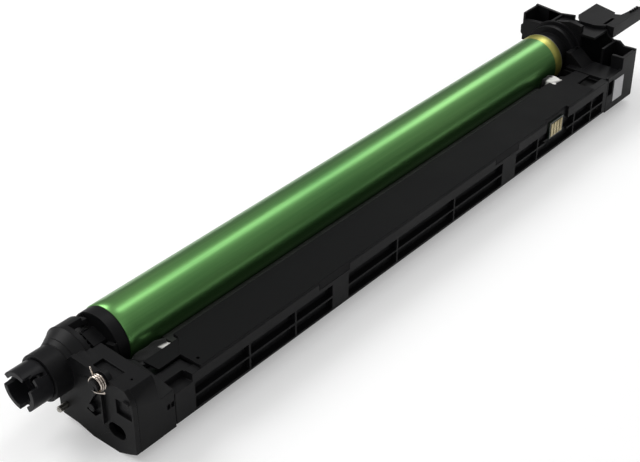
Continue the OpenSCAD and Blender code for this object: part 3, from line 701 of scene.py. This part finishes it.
@dataclass
class DrumRow:
    """The turning drum: coated tube, flanges, gear and coupling."""

    axis: tuple[float, float] = (0.0, 0.0)
    tube_wall: float = 1.0 * MM
    edge: float = 0.15 * MM
    parts: int = 192
    rings: int = 72
    inside_rings: int = 9

    def tube_profile(self) -> np.ndarray:
        """Rows of x and radius round the tube's wall, with small chamfers at its four edges."""
        low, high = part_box("drum_tube")
        r, e = (high.z - low.z) / 2, self.edge
        inner = r - self.tube_wall
        outside = np.linspace((low.x + e, r), (high.x - e, r), self.rings)
        inside = np.linspace((high.x - e, inner), (low.x + e, inner), self.inside_rings)
        far_rim = [[high.x, r - e], [high.x, inner + e]]
        return np.concatenate([[[low.x, r - e]], outside, far_rim, inside, [[low.x, inner + e]]])

    def build(self, soft: Softener) -> None:
        """Makes the tube and softens the flanges and the coupling.

        Args:
            soft: The maker of softened copies.
        """
        skin = turned("drum_skin", self.tube_profile(), self.axis, self.parts)
        put(skin, Finishes.drum, Body.DRUM, "drum_tube")
        soft.soften("drive_coupling", Finishes.coupling, Body.DRUM)
        soft.soften("drive_flange", Finishes.black, Body.DRUM)
        soft.soften("far_flange", Finishes.black, Body.DRUM)
        keep(Finishes.gear, "drum_gear")
        keep(Finishes.steel, "earth_contact")


@dataclass
class Mouldings:
    """The fixed mouldings: long frame, cover, end frames, end plate and handle."""

    black: tuple[str, ...] = (
        "main_frame", "near_end_frame", "near_end_plate", "far_end_frame", "pull_handle")

    def build(self, soft: Softener) -> None:
        """Softens every moulding.

        Args:
            soft: The maker of softened copies.
        """
        for node in self.black:
            soft.soften(node, Finishes.black, Body.FRAME)
        soft.soften("top_cover", Finishes.cover, Body.FRAME)
        soft.soften("near_bush", Finishes.bush, Body.FRAME)
        keep(Finishes.bush, "roller_bearing_near", "roller_bearing_far")


@dataclass
class GearsAndRollers:
    """The idler, the waste auger and the two rollers under the drum."""

    def build(self) -> None:
        """Dresses the gears, the auger and the rollers."""
        keep(Finishes.gear, "idler_gear", "auger_gear", "auger")
        keep(Finishes.steel, "charge_core", "cleaner_core")
        keep(Finishes.rubber, "charge_rubber")
        keep(Finishes.foam, "cleaner_foam")


@dataclass(frozen=True)
class FeltPad:
    """A felt that reaches out of its node's box, over the cover's edge or into the gap by the drum.

    Lower and upper are how far the box's lowest and highest corners move, in metres.
    Seed picks the lumps.
    """

    node: str
    finish: FeltCloth
    seed: int
    lower: Point
    upper: Point


@dataclass
class SmallParts:
    """Springs, pins, screws, blade, felts, film, chip and label."""

    spring_sides: int = 14
    spring_steps: int = 40
    torsion_wire: float = 0.9 * MM
    torsion_mean_r: float = 3.5 * MM
    torsion_turns: float = 3.25
    torsion_gap: float = 0.15 * MM
    torsion_middle: tuple[float, float] = (-28.8 * MM, 8.5 * MM)
    torsion_turn: float = math.radians(-114)
    torsion_legs: tuple[float, float] = (5 * MM, 6 * MM)
    leg_steps: int = 8
    pads: tuple[FeltPad, ...] = (
        FeltPad("felt_seal_near", Finishes.felt, 0,
                lower=(-12.4 * MM, -1.2 * MM, 0.0), upper=(-0.6 * MM, 0.5 * MM, 1.2 * MM)),
        FeltPad("felt_seal_far", Finishes.far_felt, 1,
                lower=(1 * MM, -5 * MM, 0.0), upper=(-3 * MM, 0.0, 5 * MM)),
    )
    pad_rows: int = 41
    pad_columns: int = 80
    pad_squareness: float = 0.35
    pad_lumps: float = 0.12
    pad_waves: tuple[int, int, int] = (6, 2, 9)

    def torsion_path(self) -> np.ndarray:
        """Points of the torsion spring: a straight leg, a helix about a line along X, and a straight leg.

        The helix is (pitch times turns, r cos t, r sin t); each leg leaves it along its tangent.
        """
        low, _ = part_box("torsion_spring")
        steps = int(self.torsion_turns * self.spring_steps)
        turns = np.linspace(0, self.torsion_turns, steps + 1)
        t = 2 * np.pi * turns
        pitch = self.torsion_wire + self.torsion_gap
        r = self.torsion_mean_r
        helix = np.stack([pitch * turns, r * np.cos(t), r * np.sin(t)], -1)
        leg_in, leg_out = self.torsion_legs
        way_in = np.array([0.0, -np.sin(t[0]), np.cos(t[0])])
        way_out = np.array([0.0, -np.sin(t[-1]), np.cos(t[-1])])
        run = np.linspace(0, 1, self.leg_steps)[:, None]
        start = helix[0] - way_in * leg_in * (1 - run[:-1])
        end = helix[-1] + way_out * leg_out * run[1:]
        path = np.concatenate([start, helix, end])
        c, s = math.cos(self.torsion_turn), math.sin(self.torsion_turn)
        turned_y, turned_z = path[:, 1] * c - path[:, 2] * s, path[:, 1] * s + path[:, 2] * c
        return np.stack([path[:, 0] + low.x + self.torsion_wire / 2, turned_y + self.torsion_middle[0],
                         turned_z + self.torsion_middle[1]], -1)

    def felt(self, pad: FeltPad) -> bpy.types.Mesh:
        """A lumpy felt pad.

        It is a rounded box, a sphere whose coordinates are raised to a low power, pushed in and out by the
        mean of a few sines, each of a wave's scalar product with the box's point plus a phase.

        Args:
            pad: The felt.

        Returns:
            The mesh.
        """
        low, high = (np.add(corner, move) for corner, move in zip(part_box(pad.node), (pad.lower, pad.upper)))
        middle, half = (low + high) / 2, (high - low) / 2
        u = np.linspace(-np.pi / 2, np.pi / 2, self.pad_rows)[:, None]
        v = np.linspace(-np.pi, np.pi, self.pad_columns, endpoint=False)[None, :]
        sphere = np.stack(np.broadcast_arrays(np.cos(u) * np.cos(v), np.cos(u) * np.sin(v), np.sin(u)), -1)
        boxed = np.sign(sphere) * np.abs(sphere) ** self.pad_squareness
        rng = np.random.default_rng(pad.seed)
        count, slowest, fastest = self.pad_waves
        phases = rng.uniform(0, 2 * np.pi, (count, 3)).sum(1)
        waves = rng.uniform(slowest, fastest, (count, 3))
        lumps = np.sin(boxed @ waves.T + phases).mean(-1, keepdims=True)
        swelling = 1 - self.pad_lumps + self.pad_lumps * lumps
        return woven(pad.node + "_pad", middle + boxed * half * swelling, False, True)

    def build(self) -> None:
        """Makes and dresses the small parts."""
        wire = drawn("torsion_spring_wire", self.torsion_path(), self.torsion_wire / 2, self.spring_sides,
                     (1, 0, 0))
        put(wire, Finishes.spring, Body.FRAME, "torsion_spring")
        for pad in self.pads:
            put(self.felt(pad), pad.finish, Body.FRAME, pad.node)
        keep(Finishes.steel, "drum_pin", "guide_pin", "bracket_screws", "end_screws", "bias_contact")
        keep(Finishes.bracket, "blade_bracket")
        keep(Finishes.spring, "roller_spring_near", "roller_spring_far")
        keep(Finishes.blade, "cleaning_blade")
        keep(Finishes.film, "film_seal")
        keep(Finishes.board, "chip_board")
        keep(Finishes.gold, "chip_contacts")
        keep(Finishes.label, "blank_label")


@dataclass(frozen=True)
class Lamp:
    """A soft rectangular lamp: where it hangs, its sides in metres and its power in watts."""

    name: str
    place: Point
    sides: tuple[float, float]
    power: float


@dataclass
class Studio:
    """Camera, floor and lights of the picture."""

    camera_place: Point = (-0.2911, -0.3604, 0.3526)
    camera_down: float = math.radians(90 - 33.32)
    camera_turn: float = math.radians(39.58 - 90)
    lens: float = 74.36
    sensor: float = 36.0
    seen_from: float = 0.01
    seen_to: float = 50.0
    floor_half: float = 6.0
    floor_pale: Colour = (0.92, 0.92, 0.92, 1.0)
    floor_dull: Colour = (0.9, 0.9, 0.9, 1.0)
    floor_clouds: float = 0.8
    floor_glow: float = 0.2
    glow_strength: float = 1.45
    sky: Colour = (0.8, 0.8, 0.8, 1.0)
    sky_low: float = 0.12
    sky_high: float = 0.75
    aim: Point = (0.24, 0.0, 0.0)
    lamps: tuple[Lamp, ...] = (
        Lamp("window", (-0.5, 1.5, 1.6), (1.6, 1.2), 32.0),
        Lamp("strip", (1.35, 0.24, 1.5), (0.5, 2.4), 9.5),
        Lamp("fill", (-1.2, -1.2, 1.1), (1.2, 1.2), 5.5),
    )

    def camera(self) -> None:
        """Sets the camera at the picture's place, measured from the drum tube's near end, and angle."""
        data = bpy.data.cameras.new("camera")
        data.lens, data.sensor_width = self.lens, self.sensor
        data.clip_start, data.clip_end = self.seen_from, self.seen_to
        seen = bpy.data.objects.new("camera", data)
        seen.location = Vector(self.camera_place) + Vector((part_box("drum_tube")[0].x, 0, 0))
        seen.rotation_euler = (self.camera_down, 0.0, self.camera_turn)
        bpy.context.scene.collection.objects.link(seen)
        bpy.context.scene.camera = seen

    def floor(self) -> None:
        """Lays a wide pale floor at the unit's feet; it glows a little to the camera and keeps the shadow."""
        material = bpy.data.materials.new("studio_floor")
        graph = Graph(material)
        tone = graph.mix(graph.noise(self.floor_clouds), self.floor_pale, self.floor_dull)
        graph.dress(Base_Color=tone, Roughness=0.9)
        glow = graph.term("ShaderNodeEmission", inputs={"Color": WHITE, "Strength": self.glow_strength})
        to_camera = graph.term("ShaderNodeLightPath", output="Is Camera Ray")
        plain = Term(graph, graph.shader.outputs[0])
        glowing = to_camera * self.floor_glow
        graph.show(graph.term("ShaderNodeMixShader", inputs={0: glowing, 1: plain, 2: glow}))
        side = np.array([-1.0, 1.0]) * self.floor_half
        x, y = np.meshgrid(side, side, indexing="ij")
        mesh = woven("studio_floor", np.stack([x, y, np.full_like(x, CAD_BOX[0].z)], -1))
        mesh.materials.append(material)
        floor = bpy.data.objects.new("studio_floor", mesh)
        bpy.context.scene.collection.objects.link(floor)

    def world(self) -> None:
        """Lights from all round, most from above, and shows white behind the unit.

        The strength rises in a straight line with the height of a direction, from the horizon to straight up.
        """
        world = bpy.data.worlds.new("studio")
        bpy.context.scene.world = world
        tree = Tree(world, "ShaderNodeOutputWorld")
        way = tree.term("ShaderNodeTexCoord", output="Generated")
        height = tree.term("ShaderNodeSeparateXYZ", inputs={0: way}, output=2)
        strength = tree.term("ShaderNodeMapRange", inputs={
            "Value": height, "To Min": self.sky_low, "To Max": self.sky_high})
        around = tree.term("ShaderNodeBackground", inputs={"Color": self.sky, "Strength": strength})
        behind = tree.term("ShaderNodeBackground", inputs={"Color": WHITE})
        to_camera = tree.term("ShaderNodeLightPath", output="Is Camera Ray")
        tree.show(tree.term("ShaderNodeMixShader", inputs={0: to_camera, 1: around, 2: behind}))

    def light(self) -> None:
        """Hangs the lamps, each facing the unit's middle."""
        for lamp in self.lamps:
            data = bpy.data.lights.new(lamp.name, "AREA")
            data.shape = "RECTANGLE"
            data.size, data.size_y = lamp.sides
            data.energy = lamp.power
            hung = bpy.data.objects.new(lamp.name, data)
            hung.location = lamp.place
            hung.rotation_euler = (Vector(self.aim) - Vector(lamp.place)).to_track_quat("-Z", "Y").to_euler()
            bpy.context.scene.collection.objects.link(hung)

    def build(self) -> None:
        """Makes the camera, floor, world and lamps, and shows colours as they are."""
        self.camera()
        self.floor()
        self.world()
        self.light()
        bpy.context.scene.view_settings.view_transform = "Standard"


def main() -> None:
    """Builds the studio and the sub-assemblies in order."""
    logging.basicConfig(level=logging.INFO, format="%(name)s: %(message)s")
    Studio().build()
    soft = Softener()
    Mouldings().build(soft)
    DrumRow().build(soft)
    GearsAndRollers().build()
    SmallParts().build()


if __name__ == "__main__":
    main()
